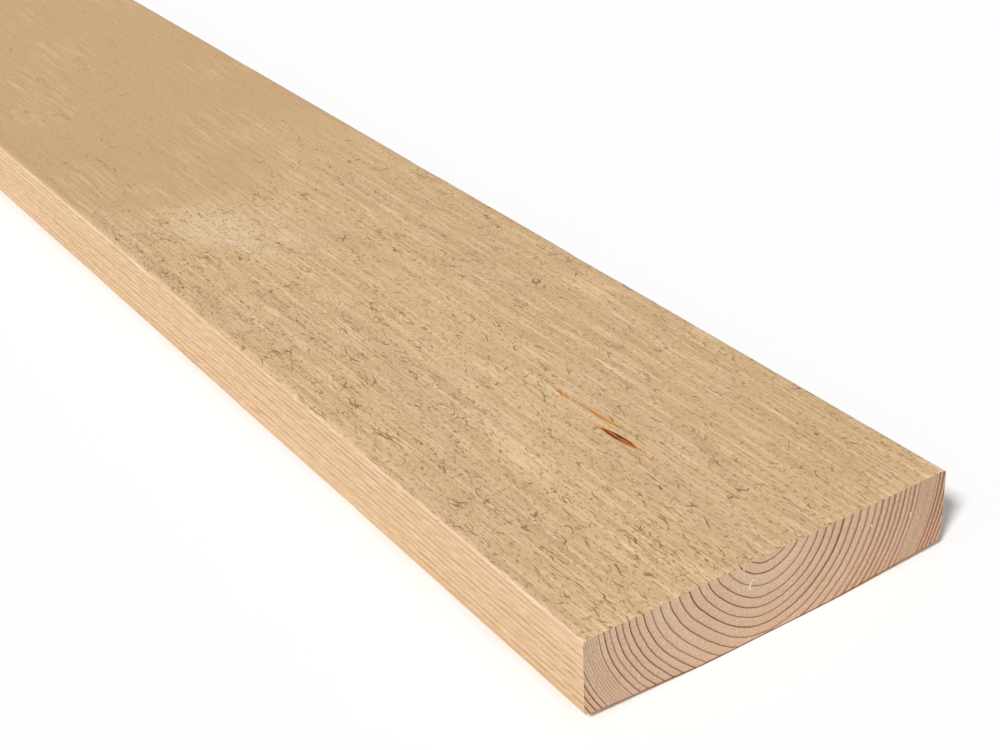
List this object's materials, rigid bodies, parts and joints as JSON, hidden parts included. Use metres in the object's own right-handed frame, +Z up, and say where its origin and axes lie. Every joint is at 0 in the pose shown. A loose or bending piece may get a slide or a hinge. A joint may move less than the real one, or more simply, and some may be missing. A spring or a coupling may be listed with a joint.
{
  "type": "sawn softwood plank",
  "caption": "Rough-sawn softwood plank with square-cut ends, a flat top face, eased long corners and a slightly crowned underside.",
  "frame": {"origin": "middle of the flat strip on the underside that the plank rests on", "axes": "+X along the length towards the sawn end that the picture shows, +Y across the width, +Z up through the thickness to the flat top face"},
  "size_m": [1.8, 0.15, 0.032],
  "materials": {
    "sawn_softwood": "rough sawn, unfinished"
  },
  "bodies": {
    "root": {"plank": "sawn_softwood"}
  },
  "joints": []
}
